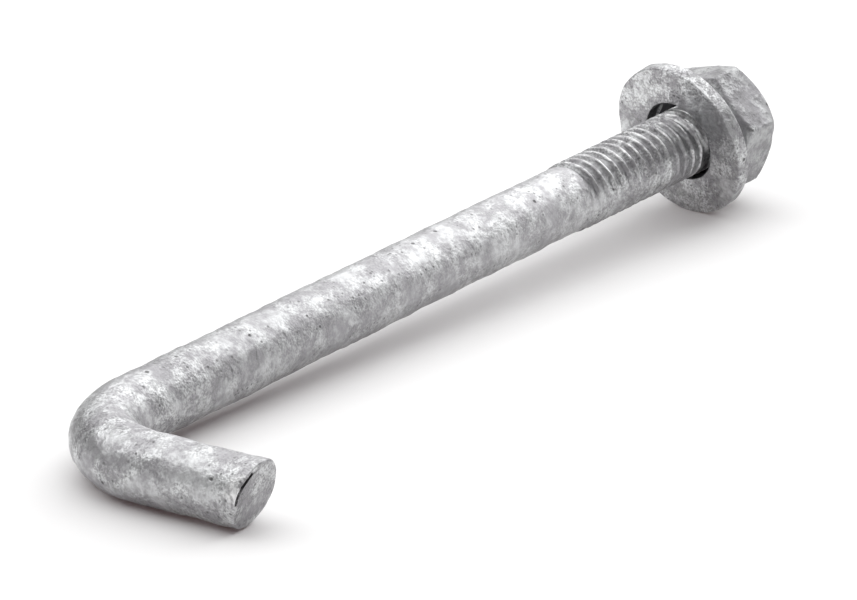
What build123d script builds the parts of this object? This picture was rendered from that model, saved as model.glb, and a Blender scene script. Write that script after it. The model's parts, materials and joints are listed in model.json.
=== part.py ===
"""Hot-dip galvanised J bolt, 1/4-20 x 4 in, with its washer and hex nut.

Three pieces: a round bar bent square at one end and threaded at the other,
a flat washer hanging loosely on the thread, and the nut behind it.

Frame: millimetres, the bolt lying on the floor z = 0, hook leg along +X,
shank along +Y, origin under the middle of the bounding box.
"""

from build123d import *
from math import cos, degrees, hypot, radians, sin, sqrt, tan
import os

# ---------------------------------------------------------------- bar and hook
bar_diameter = 6.35
bend_radius = 9.0            # of the bar's centre line
hook_length = 20.6           # from the corner of the two centre lines to the cut end
cut_lean = 16.5              # degrees the sheared end leans under, its top edge longest
cut_skew = 4.5               # degrees it turns towards the shank
cut_edge = 0.22              # rounding that the shear blade and the zinc leave

# ---------------------------------------------------------------- thread
pitch = 1.27                 # 20 threads per inch, right-hand
thread_length = 27.8
crest_radius = 3.12          # a hair under the bar, as the dipped thread reads
root_radius = 2.52
crest_flat = 0.2
ridge_foot = 0.15            # how far the ridge goes down into the core
spare = 2.0                  # extra length left at the tip and cut off again
flank_angle = 30             # each flank against the square-on plane
runout = 0.9                 # cone from the full bar down to the root
tip_radius = 2.3             # end face inside the lead-in chamfer
thread_clearance = 0.09      # each flank of the nut, tapped oversize for the zinc

# ---------------------------------------------------------------- washer
washer_diameter = 15.2
washer_thickness = 1.4
washer_bore = 7.95
washer_edge = 0.3
bore_edge = 0.2
washer_position = 91.3       # corner of the centre lines to its front face, along the shank
washer_lift = 0.25           # the shank lies low in the bore
lean_back = 11.7             # degrees its top leans towards the hook
turn_aside = 7.9             # degrees its hook side leans the same way

# ---------------------------------------------------------------- nut
nut_across_flats = 11.11
nut_height = 5.56
nut_face_radius = 5.1        # flat ring inside the corner chamfer
nut_front_chamfer = 30       # degrees from its face, on the side of the washer
nut_back_chamfer = 45
nut_turn = 11.5              # degrees from a corner pointing along +X
nut_bore_radius = 2.68
nut_root_radius = 3.27
nut_countersink = 3.45
nut_seat_gap = 0.03
end_beyond_nut = 0.75

bar_radius = bar_diameter / 2
washer_radius = washer_diameter / 2

# The washer's axis in the bolt's own plane (x along the leg, y along the shank, z up).
washer_axis = Vector(tan(radians(turn_aside)), 1, tan(radians(lean_back))).normalized()
washer_lean = sqrt(1 - washer_axis.Y**2)

# The nut's front ring touches the leaning washer at one point of its back face.
nut_front = washer_position + nut_seat_gap + (
    washer_thickness + washer_lift * washer_axis.Z + nut_face_radius * washer_lean
) / washer_axis.Y
nut_back = nut_front + nut_height
rod_end = nut_back + end_beyond_nut
shoulder = rod_end - thread_length
ridge_start = shoulder - 0.2
turned_radius = nut_across_flats / sqrt(3) + 0.1    # just clear of the nut's corners


def washer_reach(direction):
    """How far the washer reaches along a direction, from the corner of the centre lines."""
    middle = Vector(0, washer_position, washer_lift) + washer_axis * (washer_thickness / 2)
    along = abs(washer_axis.dot(direction))
    disc = (washer_radius - washer_edge) * sqrt(1 - along**2)
    slab = along * (washer_thickness / 2 - washer_edge)
    return middle.dot(direction) + disc + slab + washer_edge


def resting_tilt():
    """Angle at which the washer's rim and the hook leg both touch the floor, by halving."""
    low, high = 0.0, 10.0
    for _ in range(40):
        middle = (low + high) / 2
        down = Vector(0, -sin(radians(middle)), -cos(radians(middle)))
        if washer_reach(down) > bar_radius:
            low = middle
        else:
            high = middle
    return low


tilt = radians(resting_tilt())

# The origin stands under the middle of the bounding box.
cut_spread = bar_radius * hypot(tan(radians(cut_lean)), tan(radians(cut_skew)))
reach_left = washer_reach(Vector(-1, 0, 0))
reach_right = hook_length + cut_spread - cut_edge / 2
reach_far = rod_end * cos(tilt) + tip_radius * sin(tilt)
corner = Vector((reach_left - reach_right) / 2, (bar_radius - reach_far) / 2, bar_radius)

# Everything is drawn in the bolt's own plane, which rises along the shank.
bolt_plane = Plane(origin=corner, x_dir=(1, 0, 0), z_dir=(0, -sin(tilt), cos(tilt)))
shank_axis = Axis(corner, bolt_plane.y_dir)


def on_shank(distance):
    """Point of the shank's axis at a distance from the corner of the centre lines."""
    return bolt_plane.from_local_coords(Vector(0, distance, 0))


def half_width(radius, clearance=0.0):
    """Half the thickness of the thread's ridge at a radius."""
    return crest_flat / 2 + clearance + (crest_radius - radius) * tan(radians(flank_angle))


# ================================================================= anchor rod
# One bar from the sheared end of the hook, round the bend and up to the thread.
with BuildPart() as anchor_rod:
    with BuildLine(bolt_plane) as centre_line:
        FilletPolyline(
            (hook_length + 2 * cut_spread, 0),
            (0, 0),
            (0, shoulder),
            radius=bend_radius,
        )
    with BuildSketch(Plane(origin=centre_line.line @ 0, z_dir=centre_line.line % 0)):
        Circle(bar_radius)
    sweep(path=centre_line.line)

    # The bar was sheared, not sawn: the end leans under and its rim is rolled over.
    cut_normal = (
        bolt_plane.x_dir
        - bolt_plane.z_dir * tan(radians(cut_lean))
        + bolt_plane.y_dir * tan(radians(cut_skew))
    )
    cut_centre = bolt_plane.from_local_coords(Vector(hook_length, 0, 0))
    cut_plane = Plane(origin=cut_centre, z_dir=cut_normal)
    split(bisect_by=cut_plane, keep=Keep.BOTTOM)
    fillet(anchor_rod.edges().sort_by(Axis.X)[-1], cut_edge)

    # Run-out cone and the thread's core, turned about the shank and left long at the tip.
    with BuildSketch(bolt_plane):
        with BuildLine():
            Polyline(
                (0, shoulder - 1),
                (bar_radius, shoulder - 1),
                (bar_radius, shoulder),
                (root_radius, shoulder + runout),
                (root_radius, rod_end + spare),
                (0, rod_end + spare),
                close=True,
            )
        make_face()
    revolve(axis=shank_axis)

    # The thread is one ridge wound on the core, starting inside the run-out.
    with BuildLine() as ridge_path:
        Helix(pitch, thread_length + spare / 2, root_radius, on_shank(ridge_start), shank_axis.direction)
    ridge_out = (ridge_path.line @ 0) - on_shank(ridge_start)
    with BuildSketch(Plane(origin=ridge_path.line @ 0, x_dir=ridge_out, z_dir=ridge_path.line % 0)):
        with BuildLine():
            Polyline(
                (-ridge_foot, -half_width(root_radius - ridge_foot)),
                (crest_radius - root_radius, -half_width(crest_radius)),
                (crest_radius - root_radius, half_width(crest_radius)),
                (-ridge_foot, half_width(root_radius - ridge_foot)),
                close=True,
            )
        make_face()
    sweep(path=ridge_path.line, is_frenet=True)

    # The tip is cut to length and chamfered down past the root of the thread.
    with BuildSketch(bolt_plane):
        with BuildLine():
            Polyline(
                (0, rod_end),
                (tip_radius, rod_end),
                (bar_radius + spare, rod_end - (bar_radius + spare - tip_radius)),
                (bar_radius + spare, rod_end + 2 * spare),
                (0, rod_end + 2 * spare),
                close=True,
            )
        make_face()
    revolve(axis=shank_axis, mode=Mode.SUBTRACT)

anchor_rod.part.label = "anchor_rod"


# ===================================================================== washer
# A stamped disc; punching rolls its edges over and the zinc rounds them further.
washer_front = Plane(
    origin=bolt_plane.from_local_coords(Vector(0, washer_position, washer_lift)),
    x_dir=bolt_plane.z_dir,
    z_dir=(
        bolt_plane.x_dir * washer_axis.X
        + bolt_plane.y_dir * washer_axis.Y
        + bolt_plane.z_dir * washer_axis.Z
    ),
)
with BuildPart() as washer:
    with BuildSketch(washer_front):
        Circle(washer_radius)
        Circle(washer_bore / 2, mode=Mode.SUBTRACT)
    extrude(amount=washer_thickness)
    rims = washer.edges().filter_by(GeomType.CIRCLE).group_by(SortBy.RADIUS)
    fillet(rims[-1], washer_edge)
    fillet(rims[0], bore_edge)

washer.part.label = "washer"


# ==================================================================== hex nut
# A hexagon turned down at both ends, so each flat is bounded by the chamfer's arcs.
with BuildPart() as hex_nut:
    nut_x = bolt_plane.x_dir * cos(radians(nut_turn)) + bolt_plane.z_dir * sin(radians(nut_turn))
    with BuildSketch(Plane(origin=on_shank(nut_front), x_dir=nut_x, z_dir=shank_axis.direction)):
        RegularPolygon(nut_across_flats / 2, 6, major_radius=False)
    extrude(amount=nut_height)

    turned_off = turned_radius - nut_face_radius
    front_rise = turned_off * tan(radians(nut_front_chamfer))
    back_rise = turned_off * tan(radians(nut_back_chamfer))
    with BuildSketch(bolt_plane):
        with BuildLine():
            Polyline(
                (0, nut_front),
                (nut_face_radius, nut_front),
                (turned_radius, nut_front + front_rise),
                (turned_radius, nut_back - back_rise),
                (nut_face_radius, nut_back),
                (0, nut_back),
                close=True,
            )
        make_face()
    revolve(axis=shank_axis, mode=Mode.INTERSECT)

    # Bore with a countersink at both ends.
    with BuildSketch(bolt_plane):
        with BuildLine():
            Polyline(
                (0, nut_front),
                (nut_countersink, nut_front),
                (nut_bore_radius, nut_front + nut_countersink - nut_bore_radius),
                (nut_bore_radius, nut_back - nut_countersink + nut_bore_radius),
                (nut_countersink, nut_back),
                (0, nut_back),
                close=True,
            )
        make_face()
    revolve(axis=shank_axis, mode=Mode.SUBTRACT)

    # Its thread keeps step with the rod's: the groove starts whole turns from the ridge.
    turns = int((nut_front - ridge_start) / pitch) - 1
    groove_start = on_shank(ridge_start + turns * pitch)
    with BuildLine() as groove_path:
        Helix(pitch, nut_height + 3 * pitch, root_radius, groove_start, shank_axis.direction)
    groove_out = (groove_path.line @ 0) - groove_start
    with BuildSketch(Plane(origin=groove_path.line @ 0, x_dir=groove_out, z_dir=groove_path.line % 0)):
        with BuildLine():
            Polyline(
                (0, -half_width(root_radius, thread_clearance)),
                (nut_root_radius - root_radius, -half_width(nut_root_radius, thread_clearance)),
                (nut_root_radius - root_radius, half_width(nut_root_radius, thread_clearance)),
                (0, half_width(root_radius, thread_clearance)),
                close=True,
            )
        make_face()
    sweep(path=groove_path.line, is_frenet=True, mode=Mode.SUBTRACT)

hex_nut.part.label = "hex_nut"


# ===================================================================== output
os.makedirs("parts", exist_ok=True)
export_step(anchor_rod.part, "parts/anchor_rod.step")
export_step(washer.part, "parts/washer.step")
export_step(hex_nut.part, "parts/hex_nut.step")

pieces = (anchor_rod.part, washer.part, hex_nut.part)
whole = Compound(children=pieces).bounding_box()
print(f"bounding box {whole.min} to {whole.max}")
print(f"rests tilted {degrees(tilt):.3f} degrees; thread from {shoulder:.2f} to {rod_end:.2f} mm")
for piece in pieces:
    print(piece.label, "valid", piece.is_valid, "volume", round(piece.volume, 1))
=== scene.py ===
# %% [markdown]
# # A galvanised J bolt, dressed piece by piece
# The bolt is a round bar bent square into a short hook and threaded at the far
# end, with a loose washer and a hex nut on the thread. All of it was dipped in
# molten zinc, so nothing on it is crisp: edges are rounded, the thread is
# blunted, and the skin is lumpy and mottled. The CAD model gives the frame and
# the sizes. Here each piece is modelled again with that skin on it.

# %% Load the frame and note its size
import bpy
import bmesh
import json
from math import atan2, cos, degrees, hypot, pi, radians, sin, sqrt, tan
from mathutils import Matrix, Vector


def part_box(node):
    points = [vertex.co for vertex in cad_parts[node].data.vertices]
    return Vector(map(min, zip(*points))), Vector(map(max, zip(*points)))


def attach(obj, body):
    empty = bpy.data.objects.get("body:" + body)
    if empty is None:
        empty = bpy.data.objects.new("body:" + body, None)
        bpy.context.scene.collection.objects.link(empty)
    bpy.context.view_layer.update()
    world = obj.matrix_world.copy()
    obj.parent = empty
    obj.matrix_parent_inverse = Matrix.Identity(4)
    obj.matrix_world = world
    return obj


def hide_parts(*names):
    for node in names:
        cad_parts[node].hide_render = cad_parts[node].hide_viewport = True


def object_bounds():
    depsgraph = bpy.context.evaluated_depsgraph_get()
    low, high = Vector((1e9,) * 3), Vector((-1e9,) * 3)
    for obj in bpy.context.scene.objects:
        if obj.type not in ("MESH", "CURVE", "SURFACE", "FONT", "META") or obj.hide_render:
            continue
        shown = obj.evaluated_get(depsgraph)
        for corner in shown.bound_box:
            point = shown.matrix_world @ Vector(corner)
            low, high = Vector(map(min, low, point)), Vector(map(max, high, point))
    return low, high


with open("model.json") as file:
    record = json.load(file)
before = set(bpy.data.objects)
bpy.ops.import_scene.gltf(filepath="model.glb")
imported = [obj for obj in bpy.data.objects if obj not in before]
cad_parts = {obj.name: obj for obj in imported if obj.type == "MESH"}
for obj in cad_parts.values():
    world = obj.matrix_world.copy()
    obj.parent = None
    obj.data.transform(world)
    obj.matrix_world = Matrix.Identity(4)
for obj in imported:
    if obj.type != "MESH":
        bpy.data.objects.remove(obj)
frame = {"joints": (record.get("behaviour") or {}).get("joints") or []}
bpy.context.view_layer.update()

# %% [markdown]
# Every length below is written in millimetres times MM, because Blender works
# in metres. The bolt does not lie level: it rests on its hook leg and on the
# washer's rim. So each piece is drawn in the bolt's own plane, with the leg
# along X, the shank along Y and the corner of the two centre lines at the
# origin, and is laid into the frame by one matrix when it is finished.

# %% The bolt's own plane
MM = 0.001
SAME = 1e-6                     # two lengths this close, in metres, count as equal
CUT = 1e-8                      # tolerance of a bisect, far below the shortest edge
WELD = 0.002 * MM               # points this close are merged
bar_radius = 3.175 * MM

rod_low, rod_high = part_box("anchor_rod")
corner = rod_low + Vector((bar_radius, bar_radius, bar_radius))
joints = {joint["name"]: joint for joint in frame["joints"]}
along = Vector(joints["washer_slide"]["axis"]).normalized()
across = Vector((1, 0, 0))
upward = across.cross(along)
bolt_plane = Matrix((across, along, upward)).transposed().to_4x4()
bolt_plane.translation = corner
print("tilt of the shank, degrees:", round(degrees(atan2(along.z, along.y)), 3))

# %% [markdown]
# The camera stands high on the right of the hook and looks along the shank
# through a long lens, so the far end is only a little smaller than the near one.
# Its place is given by the two angles and the distance at which the bolt is
# seen; the last figure is a slight roll.

# %% Camera
def add_camera(azimuth, elevation, distance, aim, lens, roll):
    turn, rise = radians(azimuth), radians(elevation)
    out = Vector((sin(turn) * cos(rise), -cos(turn) * cos(rise), sin(rise)))
    bpy.ops.object.camera_add(location=aim + out * distance)
    camera = bpy.context.object
    camera.name = "camera"
    look = out.to_track_quat("Z", "Y").to_matrix() @ Matrix.Rotation(radians(roll), 3, "Z")
    camera.rotation_euler = look.to_euler()
    camera.data.lens = lens
    camera.data.sensor_width = 36
    camera.data.clip_start = 0.01
    bpy.context.scene.camera = camera
    return camera


camera = add_camera(
    azimuth=36.77,
    elevation=18.36,
    distance=551.3 * MM,
    aim=Vector((-5.13, 0.35, 3.175)) * MM,
    lens=258.0,
    roll=-0.34,
)
print("camera at, mm:", [round(v * 1000, 1) for v in camera.location])

# %% [markdown]
# Modelling by hand means: add a primitive, go into edit mode, select something,
# and let an operator act on the selection. The helpers below only keep that
# short. `pick` selects vertices, edges or faces by a test on each one, and
# `draw_line` draws an open outline by extruding one vertex from point to point.

# %% Helpers for working in edit mode
def let_go():
    bpy.ops.object.select_all(action="DESELECT")


def name_it(name):
    """Names the new object and lays its place into its mesh."""
    piece = bpy.context.object
    piece.name = piece.data.name = name
    bpy.ops.object.transform_apply(location=True, rotation=True, scale=True)
    return piece


def pick(kind, test):
    """Selects, in edit mode, what passes the test, and says how many that were."""
    bpy.ops.mesh.select_mode(type=kind)
    bpy.ops.mesh.select_all(action="DESELECT")
    mesh = bmesh.from_edit_mesh(bpy.context.edit_object.data)
    items = {"VERT": mesh.verts, "EDGE": mesh.edges, "FACE": mesh.faces}[kind]
    chosen = [item for item in items if test(item)]
    for item in chosen:
        item.select_set(True)
    bmesh.update_edit_mesh(bpy.context.edit_object.data)
    return len(chosen)


def middle(item):
    return sum((v.co for v in item.verts), Vector()) / len(item.verts)


def pull(x, y, z):
    """Extrudes the selection by a step."""
    bpy.ops.mesh.extrude_region_move(TRANSFORM_OT_translate={"value": (x, y, z)})


def draw_line(name, points):
    """An open outline through the points, drawn from a single vertex."""
    let_go()
    bpy.ops.mesh.primitive_plane_add(size=MM)
    line = name_it(name)
    bpy.ops.object.mode_set(mode="EDIT")
    bpy.ops.mesh.select_mode(type="VERT")
    bpy.ops.mesh.select_all(action="SELECT")
    bpy.ops.mesh.merge(type="CENTER")
    bpy.ops.transform.translate(value=points[0])
    for here, there in zip(points, points[1:]):
        step = [b - a for a, b in zip(here, there)]
        bpy.ops.mesh.extrude_vertices_move(TRANSFORM_OT_translate={"value": step})
    bpy.ops.object.mode_set(mode="OBJECT")
    return line


def modify(piece, kind, **settings):
    """Adds a modifier with its settings and applies it."""
    let_go()
    piece.select_set(True)
    bpy.context.view_layer.objects.active = piece
    modifier = piece.modifiers.new(kind.title(), kind)
    for key, value in settings.items():
        setattr(modifier, key, value)
    bpy.ops.object.modifier_apply(modifier=modifier.name)


def size_up(piece):
    mesh = piece.data
    low = [round(min(v.co[i] for v in mesh.vertices) / MM, 2) for i in range(3)]
    high = [round(max(v.co[i] for v in mesh.vertices) / MM, 2) for i in range(3)]
    triangles = sum(len(p.vertices) - 2 for p in mesh.polygons)
    print(f"{piece.name}: {triangles} triangles, mm {low} {high}")


# %% [markdown]
# ## The bar
# The real bar is cut, bent cold and dipped. Here it is one circle that is
# extruded for the leg, spun for the bend and extruded again for the shank. A
# curve with a bevel would give the same tube, but this way each stretch can be
# divided as finely as the lumps in the zinc will need.

# %% Extrude the leg, spin the bend, extrude the shank
bend_radius = 9.0 * MM
hook_length = 20.6 * MM
shoulder = 72.606 * MM
around = 112
leg_start = hook_length + 3 * MM        # some way past the cut that shears it

let_go()
bpy.ops.mesh.primitive_circle_add(
    vertices=around, radius=bar_radius, location=(leg_start, 0, 0), rotation=(0, pi / 2, 0)
)
bar = name_it("bar")
bpy.ops.object.mode_set(mode="EDIT")
bpy.ops.mesh.select_all(action="SELECT")
pull(bend_radius - leg_start, 0, 0)
bpy.ops.mesh.spin(steps=60, angle=pi / 2, center=(bend_radius, bend_radius, 0), axis=(0, 0, 1))
stretches = 3
for _ in range(stretches):
    pull(0, (shoulder - bend_radius) / stretches, 0)
bpy.ops.object.mode_set(mode="OBJECT")
size_up(bar)

# %% [markdown]
# The hook end was sheared, not sawn. The blade leaves a slanting face with its
# top edge longest, and rolls the rim over. A bisect takes the surplus off and
# closes the end, and a bevel rounds the rim. Only then is the tube divided into
# short rings, so that no sliver is left beside the cut.

# %% Shear the end and divide the tube
cut_skew, cut_lean = radians(4.5), radians(16.5)
cut_normal = Vector((1, tan(cut_skew), -tan(cut_lean))).normalized()
cut_centre = Vector((hook_length, 0, 0))


def on_cut(item):
    return all(abs((v.co - cut_centre).dot(cut_normal)) < SAME for v in item.verts)


bpy.ops.object.mode_set(mode="EDIT")
bpy.ops.mesh.select_all(action="SELECT")
bpy.ops.mesh.bisect(
    plane_co=cut_centre, plane_no=cut_normal, use_fill=True, clear_outer=True, threshold=CUT
)
pick("EDGE", on_cut)
bpy.ops.mesh.bevel(offset=0.26 * MM, segments=4, affect="EDGES")
undivided = 5 * MM
pick("EDGE", lambda e: e.calc_length() > undivided and middle(e).y < bend_radius)
bpy.ops.mesh.subdivide(number_cuts=44)
pick("EDGE", lambda e: e.calc_length() > undivided)
bpy.ops.mesh.subdivide(number_cuts=84)
bpy.ops.object.mode_set(mode="OBJECT")
size_up(bar)

# %% [markdown]
# The sheared face itself: the blade tore a fold open along one side of it, and
# the zinc did not fill it. The face is inset in rings, and the faces of the
# second ring are pushed in along that side to make the fold. The rings further
# in, and the poke in the middle, only give the zinc's lumps something to move.

# %% Open the fold at the edge of the sheared face
bpy.ops.object.mode_set(mode="EDIT")
print("end faces:", pick("FACE", lambda f: len(f.verts) > 20))
for width in (0.04, 0.30, 0.4, 0.5, 0.5, 0.5):
    bpy.ops.mesh.inset(thickness=width * MM)
bpy.ops.mesh.poke()
cut_side = Vector((0, 1, 0)) - cut_normal * cut_normal.y
cut_side.normalize()
cut_top = cut_normal.cross(cut_side)


def on_face(point):
    """Where a point lies on the sheared face: sideways, upwards and outwards."""
    out = point - cut_centre
    return out.dot(cut_side), out.dot(cut_top), out.dot(cut_normal)


fold_inner, fold_outer = 2.6 * MM, 2.95 * MM      # from the middle of the face
fold_bottom, fold_top = 0.1 * MM, 2.6 * MM
fold_depth = 0.5 * MM


def fold(face):
    sideways, height, outwards = on_face(middle(face))
    in_ring = abs(outwards) < 0.02 * MM and fold_inner < hypot(sideways, height) < fold_outer
    return in_ring and sideways < 0 and fold_bottom < height < fold_top


print("faces in the fold:", pick("FACE", fold))
pull(*(-cut_normal * fold_depth))
bpy.ops.object.mode_set(mode="OBJECT")
size_up(bar)

# %% [markdown]
# ## The thread
# A 1/4 inch thread with 20 turns to the inch was cut before the bar was dipped.
# The zinc fills its roots a little and blunts its crests. One turn's outline is
# drawn, and the Screw modifier winds it up the shank. The outline is exactly
# one pitch long, so each turn joins the next.

# %% Wind the thread
pitch = 1.27 * MM
rod_end = 100.406 * MM
first_crest = 70.1835 * MM      # on the side towards the leg, two turns inside the shank
crest_radius = 3.34 * MM
root_radius = 2.86 * MM

half_ridge = ((0.04, 0.98), (0.10, 0.82), (0.16, 0.55), (0.22, 0.28), (0.29, 0.10), (0.38, 0.02), (0.50, 0.0))
ridge = [(-share, height) for share, height in reversed(half_ridge)] + list(half_ridge)


def wind(line, turns, steps):
    """Winds an outline one pitch long into a right-hand thread and merges its turns."""
    winding = {"axis": "Y", "angle": 2 * pi, "screw_offset": pitch, "iterations": turns}
    modify(line, "SCREW", steps=steps, render_steps=steps, **winding)
    bpy.ops.object.mode_set(mode="EDIT")
    bpy.ops.mesh.select_all(action="SELECT")
    bpy.ops.mesh.remove_doubles(threshold=WELD)


def cut_across(y, **kept):
    """Cuts everything square across at y; `kept` says which side goes and whether to close it."""
    bpy.ops.mesh.select_all(action="SELECT")
    bpy.ops.mesh.bisect(plane_co=(0, y, 0), plane_no=(0, 1, 0), threshold=CUT, **kept)


outline = []
for share, height in ridge:
    outline.append((root_radius + (crest_radius - root_radius) * height, first_crest + share * pitch, 0))
thread = draw_line("thread", outline)
wind(thread, turns=26, steps=84)
cut_across(shoulder, clear_inner=True)
cut_across(rod_end, clear_outer=True, use_fill=True)
bpy.ops.object.mode_set(mode="OBJECT")
size_up(thread)

# %% [markdown]
# A lathe finishes both ends of a real thread: the tip is chamfered, and next to
# the shoulder the cutter leaves a short cone. `turn` does the same to the mesh.
# It moves each point straight in or out, to stay between two radii that change
# along the shank.

# %% Turn the tip and the run-out
def turn(piece, least, most):
    for vertex in piece.data.vertices:
        radius = hypot(vertex.co.x, vertex.co.z)
        angle = atan2(vertex.co.z, vertex.co.x)
        wanted = min(max(radius, least(vertex.co.y, angle)), most(vertex.co.y, angle))
        if radius > SAME:
            vertex.co.x *= wanted / radius
            vertex.co.z *= wanted / radius


tip_radius = 2.25 * MM
runout = 0.8 * MM
drained_side = radians(35)      # below the horizontal, on the side of the leg
drained_depth = 0.40 * MM       # of zinc in the roots there
filling_slope, crest_slope, tip_slope = 0.06, 0.3, 1.1


def least_radius(y, angle):
    """The cutter's cone at the shoulder, and below it the zinc that ran down into the roots."""
    cone = bar_radius - (y - shoulder) * (bar_radius - root_radius) / runout
    underside = max(0.0, cos(angle + drained_side)) ** 1.5
    drained = min(root_radius + drained_depth * underside, bar_radius + filling_slope * (y - shoulder))
    return max(cone, drained)


def most_radius(y, angle):
    """The crests rise out of the shank, and the chamfer takes them off again at the tip."""
    return min(bar_radius + crest_slope * (y - shoulder), tip_radius + (rod_end - y) * tip_slope)


turn(thread, least=least_radius, most=most_radius)
let_go()
thread.select_set(True)
bar.select_set(True)
bpy.context.view_layer.objects.active = bar
bpy.ops.object.join()
rod = bpy.context.object
rod.name = rod.data.name = "galvanised_rod"
bpy.ops.object.mode_set(mode="EDIT")
print("open edges at the shoulder:", pick("EDGE", lambda e: e.is_boundary))
bpy.ops.mesh.remove_doubles(threshold=WELD)
pick("EDGE", lambda e: e.is_boundary)
bpy.ops.mesh.bridge_edge_loops()
bpy.ops.mesh.select_all(action="SELECT")
bpy.ops.mesh.normals_make_consistent(inside=False)
bpy.ops.object.mode_set(mode="OBJECT")
size_up(rod)

# %% [markdown]
# ## The skin of zinc
# Molten zinc runs and freezes in soft lumps about a tenth of a millimetre high.
# A bump in the material would show them inside the outline only, so the larger
# ones are real: a Displace modifier moves the surface by a clouds texture. The
# thread gets smaller ones, so that its ridges stay readable. The leg is a little
# thicker with zinc than the shank, and a burr stands up beside the fold.

# %% Lumps in the zinc
def lumps(piece, name, size, height, group=""):
    clouds = bpy.data.textures.new(name, "CLOUDS")
    clouds.noise_scale = size * MM
    clouds.noise_depth = 1
    placing = {"texture": clouds, "texture_coords": "LOCAL", "vertex_group": group}
    modify(piece, "DISPLACE", strength=height * MM, mid_level=0.5, **placing)


def weigh(piece, name, weight):
    """A vertex group whose weight at each point comes from the point's place."""
    group = piece.vertex_groups.new(name=name)
    for vertex in piece.data.vertices:
        group.add([vertex.index], max(0.0, min(1.0, weight(vertex.co))), "REPLACE")
    return group.name


plain = weigh(rod, "plain bar", lambda p: (shoulder - p.y) / (2 * MM))
lumps(rod, "broad runs", 3.8, 0.20, plain)
lumps(rod, "lumps", 1.2, 0.12, plain)
lip_sideways, lip_height = -2.75 * MM, 1.6 * MM      # on the sheared face


def beside_fold(point):
    sideways, height, outwards = on_face(point)
    near = hypot(sideways - lip_sideways, (height - lip_height) * 0.55, outwards * 0.8)
    return 1.4 - near / (0.75 * MM)


leg = weigh(rod, "leg", lambda p: (bend_radius - p.y) / (4 * MM))
modify(rod, "DISPLACE", strength=0.05 * MM, mid_level=0, vertex_group=leg)
burr = weigh(rod, "burr", beside_fold)
modify(rod, "DISPLACE", strength=0.13 * MM, mid_level=0, vertex_group=burr)
threaded = weigh(rod, "thread", lambda p: 1 if p.y > shoulder - 1 * MM else 0)
lumps(rod, "zinc on the thread", 0.9, 0.12, threaded)


def finish_mesh(piece, body, node, angle):
    """Shades the piece, lays it into the frame and gives it its body."""
    piece.vertex_groups.clear()
    let_go()
    piece.select_set(True)
    bpy.context.view_layer.objects.active = piece
    bpy.ops.object.shade_smooth_by_angle(angle=radians(angle))
    piece.data.transform(bolt_plane)
    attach(piece, body)
    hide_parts(node)
    size_up(piece)


finish_mesh(rod, "rod", "anchor_rod", 50)

# %% [markdown]
# ## The washer
# A washer is punched from sheet. A cylinder is added, both faces are inset to
# the size of the hole, and bridging the two inner faces opens it. It hangs on
# the rod and leans, so it is made flat and turned afterwards.

# %% Punch the washer
washer_radius = 7.6 * MM
washer_thickness = 1.4 * MM
washer_bore = 3.975 * MM



def rim_edge(least, most):
    """A test for the edges of a washer's rims between two radii."""

    def test(edge):
        here, there = (v.co for v in edge.verts)
        level = abs(here.z - there.z) < SAME and abs(here.xy.length - there.xy.length) < SAME
        return level and least < here.xy.length < most

    return test


let_go()
bpy.ops.mesh.primitive_cylinder_add(
    vertices=168, radius=washer_radius, depth=washer_thickness, location=(0, 0, washer_thickness / 2)
)
washer = name_it("galvanised_washer")
bpy.ops.object.mode_set(mode="EDIT")
pick("FACE", lambda f: len(f.verts) > 4)
bpy.ops.mesh.inset(thickness=washer_radius - washer_bore)
bpy.ops.mesh.bridge_edge_loops()
pick("EDGE", rim_edge(6 * MM, 9 * MM))
bpy.ops.mesh.bevel(offset=0.14 * MM, segments=4, affect="EDGES")
pick("EDGE", rim_edge(0, 5 * MM))
bpy.ops.mesh.bevel(offset=0.16 * MM, segments=4, affect="EDGES")
pick("EDGE", lambda e: e.calc_length() > 2 * MM)
bpy.ops.mesh.subdivide(number_cuts=13)
pick("EDGE", lambda e: 0.8 * MM < e.calc_length() < 1.3 * MM)
bpy.ops.mesh.subdivide(number_cuts=4)
bpy.ops.object.mode_set(mode="OBJECT")
size_up(washer)

# %% [markdown]
# The washer's hole is wider than the thread, so the washer hangs on it with its
# top towards the hook and rests its rim on the floor. It is lumpy like the bar,
# and gets its lumps while it still lies flat.

# %% Lean the washer on the rod
washer_position = 91.3 * MM
washer_lift = 0.25 * MM
turn_aside, lean_back = radians(7.9), radians(11.7)
washer_axis = Vector((tan(turn_aside), 1, tan(lean_back))).normalized()
lumps(washer, "washer runs", 2.2, 0.16)
lumps(washer, "washer lumps", 0.8, 0.07)
lean = washer_axis.to_track_quat("Z", "X").to_matrix().to_4x4()
washer_frame = Matrix.Translation((0, washer_position, washer_lift)) @ lean
washer.data.transform(washer_frame)
finish_mesh(washer, "washer", "washer", 50)

# %% [markdown]
# ## The nut
# A hexagon whose corners are turned down at both ends, at 30 degrees on the side
# of the washer and at 45 on the other, so that each flat ends in curved
# shoulders. Cutting those arcs by hand is fiddly, while a Boolean of a
# hexagonal prism with a turned blank gives them exactly, as on the real
# machine. A second Boolean takes the tapped bore out.

# %% Hexagon and turned blank
nut_front = 94.096 * MM
nut_height = 5.56 * MM
across_flats = 11.11 * MM
face_radius = 5.1 * MM
front_chamfer = radians(30)
nut_turn = radians(30 - 11.5)    # brings a corner 11.5 degrees from the leg's direction

let_go()
nut_middle = nut_front + nut_height / 2
corner_radius = across_flats / sqrt(3)
lying = {"depth": nut_height, "location": (0, nut_middle, 0), "rotation": (pi / 2, 0, 0)}
bpy.ops.mesh.primitive_cylinder_add(vertices=6, radius=corner_radius, **lying)
nut = name_it("galvanised_nut")
print("corner angles:", sorted({round(degrees(atan2(v.co.z, v.co.x)), 1) for v in nut.data.vertices}))
nut.data.transform(Matrix.Rotation(nut_turn, 4, "Y"))

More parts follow.
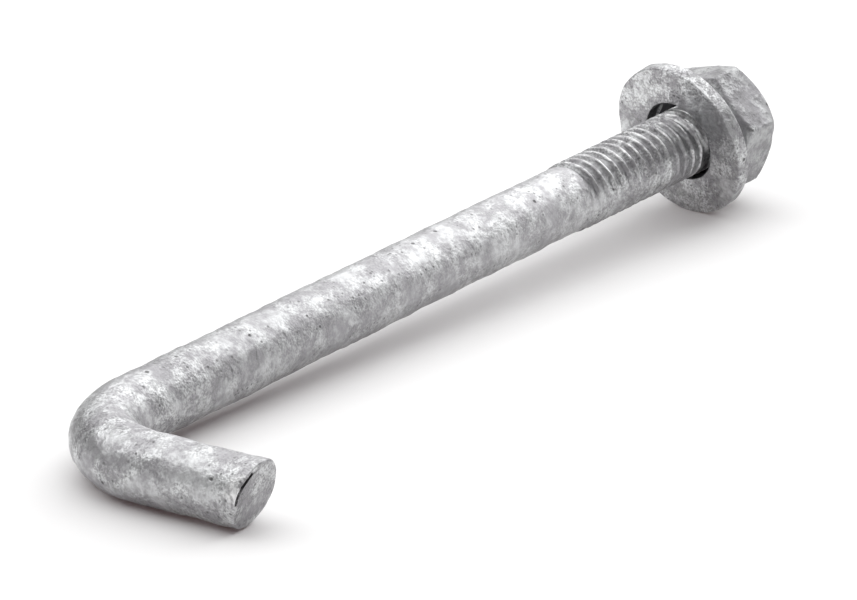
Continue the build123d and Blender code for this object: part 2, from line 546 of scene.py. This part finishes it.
let_go()
blank_radius = corner_radius + 0.05 * MM
bpy.ops.mesh.primitive_cylinder_add(vertices=144, radius=blank_radius, **lying)
blank = name_it("turned_blank")
bpy.ops.object.mode_set(mode="EDIT")
pick("EDGE", lambda e: abs(e.verts[0].co.y - e.verts[1].co.y) < SAME)
turned_off = blank_radius - face_radius
bpy.ops.mesh.bevel(offset=turned_off, segments=1, affect="EDGES")
pick("VERT", lambda v: abs(v.co.y - nut_front - turned_off) < SAME)
bpy.ops.transform.translate(value=(0, turned_off * (tan(front_chamfer) - 1), 0))
bpy.ops.object.mode_set(mode="OBJECT")
modify(nut, "BOOLEAN", operation="INTERSECT", object=blank, solver="EXACT")
bpy.data.objects.remove(blank)
size_up(nut)

# %% [markdown]
# The tap is wound like the thread, a little larger all round: nuts for
# galvanised bolts are tapped oversize to leave room for the zinc. It clears the
# rod's crests. The zinc that ran into the rod's roots still stands in the crests
# of this thread, inside the nut where nothing shows it.

# %% Tap the nut
nut_back = nut_front + nut_height
overrun = 0.5 * MM              # of the tap beyond each face
countersink = 3.60 * MM
countersink_depth = 1 * MM

half_groove = ((0.10, 3.46), (0.19, 3.33), (0.40, 3.03), (0.50, 3.03))
groove = [(-share, radius) for share, radius in reversed(half_groove)] + list(half_groove)
tap_outline = []
for share, radius in groove:
    tap_outline.append((radius * MM, first_crest + 17 * pitch + share * pitch, 0))
tap = draw_line("tap", tap_outline)
wind(tap, turns=9, steps=64)
cut_across(nut_front - overrun, clear_inner=True, use_fill=True)
cut_across(nut_back + overrun, clear_outer=True, use_fill=True)
bpy.ops.mesh.select_all(action="SELECT")
bpy.ops.mesh.normals_make_consistent(inside=False)
bpy.ops.object.mode_set(mode="OBJECT")


def countersunk(y, angle):
    """The tap widens near both faces of the nut, which countersinks the bore."""
    if abs(y - nut_middle) > nut_height / 2 - countersink_depth:
        return countersink - min(y - nut_front, nut_back - y)
    return 0


turn(tap, least=countersunk, most=lambda y, angle: 1)
size_up(tap)
modify(nut, "BOOLEAN", operation="DIFFERENCE", object=tap, solver="EXACT")
bpy.data.objects.remove(tap)
size_up(nut)

# %% [markdown]
# The zinc has rounded every edge of the nut. A voxel remesh makes one even skin
# of the sharp nut, and smoothing that skin rounds it. The bore gets no lumps.

# %% Round the nut off with zinc
modify(nut, "REMESH", mode="VOXEL", voxel_size=0.115 * MM, adaptivity=0)
modify(nut, "SMOOTH", factor=0.5, iterations=9)
outside = weigh(nut, "outside", lambda p: (hypot(p.x, p.z) - 3.7 * MM) / (0.6 * MM))
lumps(nut, "nut runs", 2.4, 0.2, outside)
lumps(nut, "nut lumps", 0.8, 0.08, outside)
finish_mesh(nut, "nut", "hex_nut", 60)

# %% [markdown]
# ## The finish
# Hot-dip zinc that has weathered a little is neither paint nor bare metal. It
# is a rough metal with a thin dull film. Four things make it read as zinc: pale
# patches a few millimetres wide where the film is thinner, a fine speckle of
# frozen crystals, small dark dots and pits, and broken rings where drops dried.
# All are noise or cells at different sizes, so they are written once, as sums,
# and each piece takes its own amounts. What depends on the place comes from each
# piece's own marks: painted shade in the thread roots, the fold and the mouths of
# the bores, and painted light on the crests, on the thread at the washer, on the
# lip and in the nut's bore.

# %% Shader sums written as Python
class Value:
    """A socket that carries a number, so that shader sums read as Python."""

    def __init__(self, recipe, socket):
        self.recipe, self.socket = recipe, socket

    def sum(self, operation, *terms, clamp=False):
        sockets = dict(enumerate(terms))
        return self.recipe.add("ShaderNodeMath", {"operation": operation, "use_clamp": clamp}, sockets, "Value")

    def __add__(self, other):
        return self.sum("ADD", self, other)

    def __sub__(self, other):
        return self.sum("SUBTRACT", self, other)

    def __rsub__(self, other):
        return self.sum("SUBTRACT", other, self)

    def __mul__(self, other):
        return self.sum("MULTIPLY", self, other)

    __radd__ = __add__
    __rmul__ = __mul__

    def power(self, exponent):
        return self.sum("POWER", self, exponent)

    def between(self, low, high):
        """0 below low, 1 above high, and a soft step between."""
        settings = {"interpolation_type": "SMOOTHSTEP", "clamp": True}
        sockets = {"Value": self, "From Min": low, "From Max": high}
        return self.recipe.add("ShaderNodeMapRange", settings, sockets, "Result")


class Recipe:
    """A material's node tree. `add` makes one node and gives back one of its outputs."""

    def __init__(self, name):
        self.material = bpy.data.materials.new(name)
        self.material.use_nodes = True
        self.tree = self.material.node_tree
        self.tree.nodes.clear()

    def add(self, kind, settings, sockets, output):
        node = self.tree.nodes.new(kind)
        for key, value in settings.items():
            setattr(node, key, value)
        for key, value in sockets.items():
            if isinstance(key, int):
                socket = node.inputs[key]
            else:
                socket = next(s for s in node.inputs if s.enabled and key in (s.name, s.identifier))
            if isinstance(value, Value):
                self.tree.links.new(value.socket, socket)
            else:
                socket.default_value = value
        outputs = [s for s in node.outputs if s.enabled]
        return Value(self, next((s for s in outputs if s.name == output), outputs[0]))

    def done(self, surface):
        """Joins the finished surface to the material's output."""
        output = self.tree.nodes.new("ShaderNodeOutputMaterial")
        self.tree.links.new(surface.socket, output.inputs["Surface"])
        return self.material

    def noise(self, place, size, detail=2.0, roughness=0.5, distortion=0.0):
        """Clouds whose lumps are about size millimetres wide, from 0 to 1."""
        sockets = {"Vector": place, "Scale": 1000 / size, "Detail": detail}
        sockets.update({"Roughness": roughness, "Distortion": distortion})
        return self.add("ShaderNodeTexNoise", {}, sockets, "Fac")

    def cells(self, place, size):
        """The distance to the nearest of scattered points, in cells of the given size."""
        return self.add("ShaderNodeTexVoronoi", {}, {"Vector": place, "Scale": 1000 / size}, "Distance")

    def chance(self, place, size):
        """A number from 0 to 1 that is the same all over each cell."""
        colour = self.add("ShaderNodeTexVoronoi", {}, {"Vector": place, "Scale": 1000 / size}, "Color")
        return self.add("ShaderNodeSeparateColor", {}, {"Color": colour}, "Red")

    def blend(self, share, first, second):
        """A colour between two, by a share from 0 to 1."""
        settings = {"data_type": "RGBA", "clamp_factor": True}
        sockets = {"Factor_Float": share, "A_Color": first, "B_Color": second}
        return self.add("ShaderNodeMix", settings, sockets, "Result")


def grey(level, red=1.0, blue=1.0):
    """A grey of a brightness, with a little more or less red and blue in it."""
    return (level * red, level, level * blue, 1)


# %% The zinc itself
def zinc(name, frame_matrix, marks, shift, pale, dull, speckled=1.0, bumpy=1.0, ringed=0.3, blotch=5.5):
    """Galvanised finish: pale patches over dull grey, speckled, pitted and ringed.

    `marks` tells, from a point in the piece's own frame, how dark, how bright and
    how calm (free of mottling) it is; its dark and bright carry painted shade and
    painted highlights. `blotch` is the width of the patches in mm.
    """
    mix = Recipe(name)
    centre = mix.add("ShaderNodeTexCoord", {}, {}, "Object")
    place = mix.add("ShaderNodeMapping", {}, {"Vector": centre, "Location": (shift, 0, 0)}, "Vector")
    turned = frame_matrix.inverted()
    laid_flat = {"Vector": centre, "Location": turned.translation, "Rotation": turned.to_euler()}
    own = mix.add("ShaderNodeMapping", {}, laid_flat, "Vector")
    x, y, z = (mix.add("ShaderNodeSeparateXYZ", {}, {"Vector": own}, axis) for axis in "XYZ")

    broad = mix.noise(place, blotch, detail=3, roughness=0.55, distortion=0.3)
    patch = mix.noise(place, 1.7, detail=4, roughness=0.62, distortion=0.2)
    crust = mix.noise(place, 0.55, detail=3, roughness=0.6)
    speckle = mix.noise(place, 0.2, detail=1, roughness=0.5)
    rough_skin = mix.noise(place, 4.0, detail=1).between(0.36, 0.52) * 0.75 + 0.25

    dark, bright, calm = marks(x, y, z)
    lively = 1 - calm * 0.4
    patches = (broad * 0.34 + patch * 0.50 + crust * 0.26 - 0.05).between(0.42, 0.61)
    paleness = (patches - 0.5) * (1 - calm * 0.15) + 0.5
    colour = mix.blend(paleness, grey(dull, 1.02, 1.04), grey(pale, 0.99, 1.01))
    frost = (speckle * 0.4 + patch * 0.6).between(0.50, 0.62) * rough_skin
    colour = mix.blend(frost * lively * (0.6 * speckled), colour, grey(pale * 1.25, 0.99, 1.01))
    flecks = (1 - (speckle * 0.6 + crust * 0.4).between(0.40, 0.56)) * rough_skin
    colour = mix.blend(flecks * lively * (0.45 * speckled), colour, grey(dull * 0.5))

    dot_size = mix.cells(place, 0.5)
    dot_chance = mix.chance(place, 0.5)
    dots = (1 - dot_size.between(0.14, 0.36)) * dot_chance.between(0.72, 0.75) * rough_skin
    colour = mix.blend(dots * (0.7 * speckled), colour, grey(dull * 0.35))
    pit = (1 - mix.cells(place, 1.6).between(0.07, 0.16)) * mix.chance(place, 1.6).between(0.70, 0.72)
    colour = mix.blend(pit * 0.8, colour, grey(0.07))
    from_ring = mix.cells(place, 2.6) + (patch - 0.5) * 0.5
    ring_line = from_ring.between(0.13, 0.24) * (1 - from_ring.between(0.26, 0.38))
    rings = ring_line * mix.chance(place, 2.6).between(0.25, 0.3) * crust.between(0.38, 0.55)
    colour = mix.blend(rings * ringed, colour, grey(dull * 0.45))
    # painted highlights from the marks: crests, thread at the washer, lip and the nut's glint
    colour = mix.blend(bright * (patch * 0.6 + crust * 0.4).between(0.42, 0.56), colour, grey(pale * 1.5))
    # painted shade from the marks, together with the duller zinc they also carry
    colour = mix.blend(dark, colour, grey(0.05, 1.04, 1.06))

    height = patch * 0.35 + crust * 0.30 + speckle * 0.14 * rough_skin - pit * 0.3 - dots * 0.08
    normal = mix.add("ShaderNodeBump", {}, {"Strength": 0.9 * bumpy, "Distance": 0.0003, "Height": height}, "Normal")
    rough = 0.50 - paleness * 0.14 + dark * 0.2

    sockets = {"Base Color": colour, "Metallic": 1.0, "Roughness": rough, "Normal": normal}
    surface = mix.add("ShaderNodeBsdfPrincipled", {}, sockets, "BSDF")
    return mix.done(surface)


# the lit side of the thread, where its painted shade and highlights are strongest
lit_side_angle = radians(38)        # above the horizontal, on the side of the leg
# where a painted glint sits on the nut's face in the bore's dark mouth, and its slant
glint_x, glint_z = -4.04 * MM, 1.88 * MM
glint_cosine, glint_sine = 0.877, 0.48


def marks_on_rod(x, y, z):
    """Painted shade in the thread roots and the fold, painted highlights on the crests and the lip, painted light on
    the thread at the washer, and duller zinc behind the bend and on the sheared face.
    """
    radius = (x * x + z * z).power(0.5)
    on_thread = y.between(shoulder + 0.1 * MM, shoulder + 0.7 * MM)
    # painted shade in the thread roots, deeper on the lit side
    groove = (1 - radius.between(root_radius + 0.02 * MM, crest_radius - 0.18 * MM)) * on_thread
    downwards = x * cos(drained_side) - z * sin(drained_side)
    lit_side = (x * cos(lit_side_angle) + z * sin(lit_side_angle)).between(2.2 * MM, 3.2 * MM)
    # painted highlight on the crests, strongest on the lit side and none underneath
    crest_highlight = radius.between(crest_radius - 0.16 * MM, crest_radius - 0.05 * MM) * on_thread
    crest_highlight = crest_highlight * (1 - downwards.between(0, 2.4 * MM))
    behind_bend = y.between(4 * MM, 12 * MM) * (1 - y.between(20 * MM, 65 * MM))
    sideways, height, outwards = (
        x * axis.x + y * axis.y + z * axis.z - cut_centre.dot(axis) for axis in (cut_side, cut_top, cut_normal)
    )
    off_middle = (sideways * sideways + height * height).power(0.5)
    near_end = outwards.between(-0.55 * MM, -0.5 * MM)
    ring = off_middle.between(2.54 * MM, 2.60 * MM) * (1 - off_middle.between(2.86 * MM, 2.92 * MM))
    fold_span = height.between(-0.1 * MM, 0.1 * MM) * (1 - height.between(2.4 * MM, 2.7 * MM))
    # painted shade in the fold that the shear tore open
    fold_shade = ring * near_end * (1 - sideways.between(-0.1 * MM, 0)) * fold_span
    sheared = outwards.between(-0.20 * MM, -0.08 * MM) * (1 - off_middle.between(2.8 * MM, 3.0 * MM))
    aside, above, beyond = sideways - lip_sideways, (height - lip_height) * 0.6, outwards * 0.7
    from_lip = (aside.power(2) + above.power(2) + beyond.power(2)).power(0.5)
    # painted highlight on the burr beside the fold
    lip_highlight = (1 - from_lip.between(0.5 * MM, 1.3 * MM)) * off_middle.between(2.88 * MM, 2.96 * MM)
    # painted light on the thread just in front of the washer, which lifts the shade there and takes the painted root
    # shade away
    painted_light_by_washer = y.between(88.5 * MM, 90.5 * MM)
    dark = groove * (lit_side * 0.25 + 0.22) * (1 - painted_light_by_washer)
    dark = dark + behind_bend * 0.13 + sheared * 0.14 + fold_shade * 0.85
    bright = crest_highlight * (lit_side * 0.4 + 0.25) + painted_light_by_washer * 0.5 + lip_highlight * 1.1
    return dark, bright, y.between(8 * MM, 22 * MM) * (1 - on_thread)


def marks_on_washer(x, y, z):
    """Painted shade at the edge of the hole, and a faintly darker rim."""
    radius = (x * x + y * y).power(0.5)
    rim = radius.between(washer_radius - 0.12 * MM, washer_radius - 0.04 * MM)
    # painted shade round the hole, where the gap about the thread lies in shadow
    hole_shade = 1 - radius.between(washer_bore, washer_bore + 0.15 * MM)
    return hole_shade * 0.85 + rim * 0.12, 0, 0


def marks_on_nut(x, y, z):
    """Painted shade in the mouth of the bore, and in it one painted glint."""
    radius = (x * x + z * z).power(0.5)
    inside = 1 - y.between(nut_front + 0.1 * MM, nut_front + 0.5 * MM) * 0.5
    # painted shade in the mouth of the bore, behind the washer
    mouth_shade = (1 - radius.between(4.0 * MM, 5.0 * MM)) * inside
    # a thin painted glint, brighter than any lit zinc, that cuts the painted shade
    lengthwise = (x - glint_x) * glint_sine + (z - glint_z) * glint_cosine
    crosswise = (x - glint_x) * glint_cosine - (z - glint_z) * glint_sine
    from_glint = (lengthwise * lengthwise * 0.03 + crosswise * crosswise).power(0.5)
    painted_glint = 1 - from_glint.between(0.11 * MM, 0.17 * MM)
    return mouth_shade * (1 - painted_glint) * 0.85, painted_glint * 4, 0


# %% [markdown]
# The three pieces share one recipe. A shift of the noise keeps them from having
# the same blotches. The washer is palest and bumpiest, and the nut is dullest.

# %% Give each piece its zinc
bar_zinc = zinc("zinc_on_bar", bolt_plane, marks_on_rod, 0.0, pale=0.58, dull=0.38)
washer_plane = bolt_plane @ washer_frame
washer_look = {"pale": 0.64, "dull": 0.38, "bumpy": 1.4, "ringed": 0.5, "blotch": 3.2}
washer_zinc = zinc("zinc_on_washer", washer_plane, marks_on_washer, 0.3, **washer_look)
nut_zinc = zinc("zinc_on_nut", bolt_plane, marks_on_nut, 0.6, pale=0.39, dull=0.27, speckled=0.7)
for piece, finish in ((rod, bar_zinc), (washer, washer_zinc), (nut, nut_zinc)):
    piece.data.materials.clear()
    piece.data.materials.append(finish)
    print(piece.name, "has", finish.name)

# %% [markdown]
# ## Floor and light
# The floor is plain pale paper. It also has a very weak warm glow, which only
# the camera, reflections and see-through rays meet. So the glow warms the darkest
# shadows in the picture a little and throws no light on the bolt. One wide
# softbox hangs overhead, and two weaker ones shape the bar. Three cards stand low
# at the horizon: they fill the dark gap that the metal would mirror there, but
# light the floor and its shadows very little.

# %% Floor and light
let_go()
lowest = min(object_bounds()[0].z, 0)
bpy.ops.mesh.primitive_plane_add(size=8, location=(0, 0, lowest))
floor = name_it("floor")
paper = Recipe("white_paper")
is_camera = paper.add("ShaderNodeLightPath", {}, {}, "Is Camera Ray")
is_glossy = paper.add("ShaderNodeLightPath", {}, {}, "Is Glossy Ray")
is_through = paper.add("ShaderNodeLightPath", {}, {}, "Is Transmission Ray")
glow = paper.blend(is_camera + is_glossy + is_through, (0, 0, 0, 1), (0.026, 0.012, 0.012, 1))
sockets = {
    "Base Color": (0.84, 0.845, 0.845, 1),
    "Roughness": 1,
    "Specular IOR Level": 0,
    "Emission Color": glow,
    "Emission Strength": 1,
}
floor.data.materials.append(paper.done(paper.add("ShaderNodeBsdfPrincipled", {}, sockets, "BSDF")))


def softbox(name, place, facing, size, power):
    """A softbox of a width and length in metres, which shines away from `facing`, in watts."""
    bpy.ops.object.light_add(type="AREA", location=place)
    lamp = bpy.context.object
    lamp.name = name
    lamp.rotation_euler = Vector(facing).to_track_quat("Z", "Y").to_euler()
    lamp.data.shape = "RECTANGLE"
    lamp.data.size, lamp.data.size_y = size
    lamp.data.energy = power
    lamp.data.color = (0.995, 1, 1)
    return lamp


softbox("overhead", (-0.18, 0.66, 0.6), (0, 0, 1), (1.5, 2.6), 18.8)
for name, place, size, power in (
    ("behind", (0, 0.62, 0.36), (1.3, 0.72), 2.3),
    ("left", (-0.62, -0.1, 0.5), (1.2, 0.5), 0.8),
    ("low card behind", (0.48, 0.64, 0.13), (0.9, 0.26), 0.5),
    ("low card left", (-0.62, 0.5, 0.13), (0.7, 0.26), 0.28),
    ("low card in front", (-0.48, -0.64, 0.13), (0.9, 0.26), 0.6),
):
    softbox(name, place, place, size, power)    # each faces the bolt at the origin
world = bpy.data.worlds.new("studio")
bpy.context.scene.world = world
world.use_nodes = True
sky = world.node_tree.nodes["Background"].inputs
sky["Color"].default_value = (1, 0.94, 0.94, 1)
sky["Strength"].default_value = 0.06
bpy.context.scene.view_settings.view_transform = "Standard"
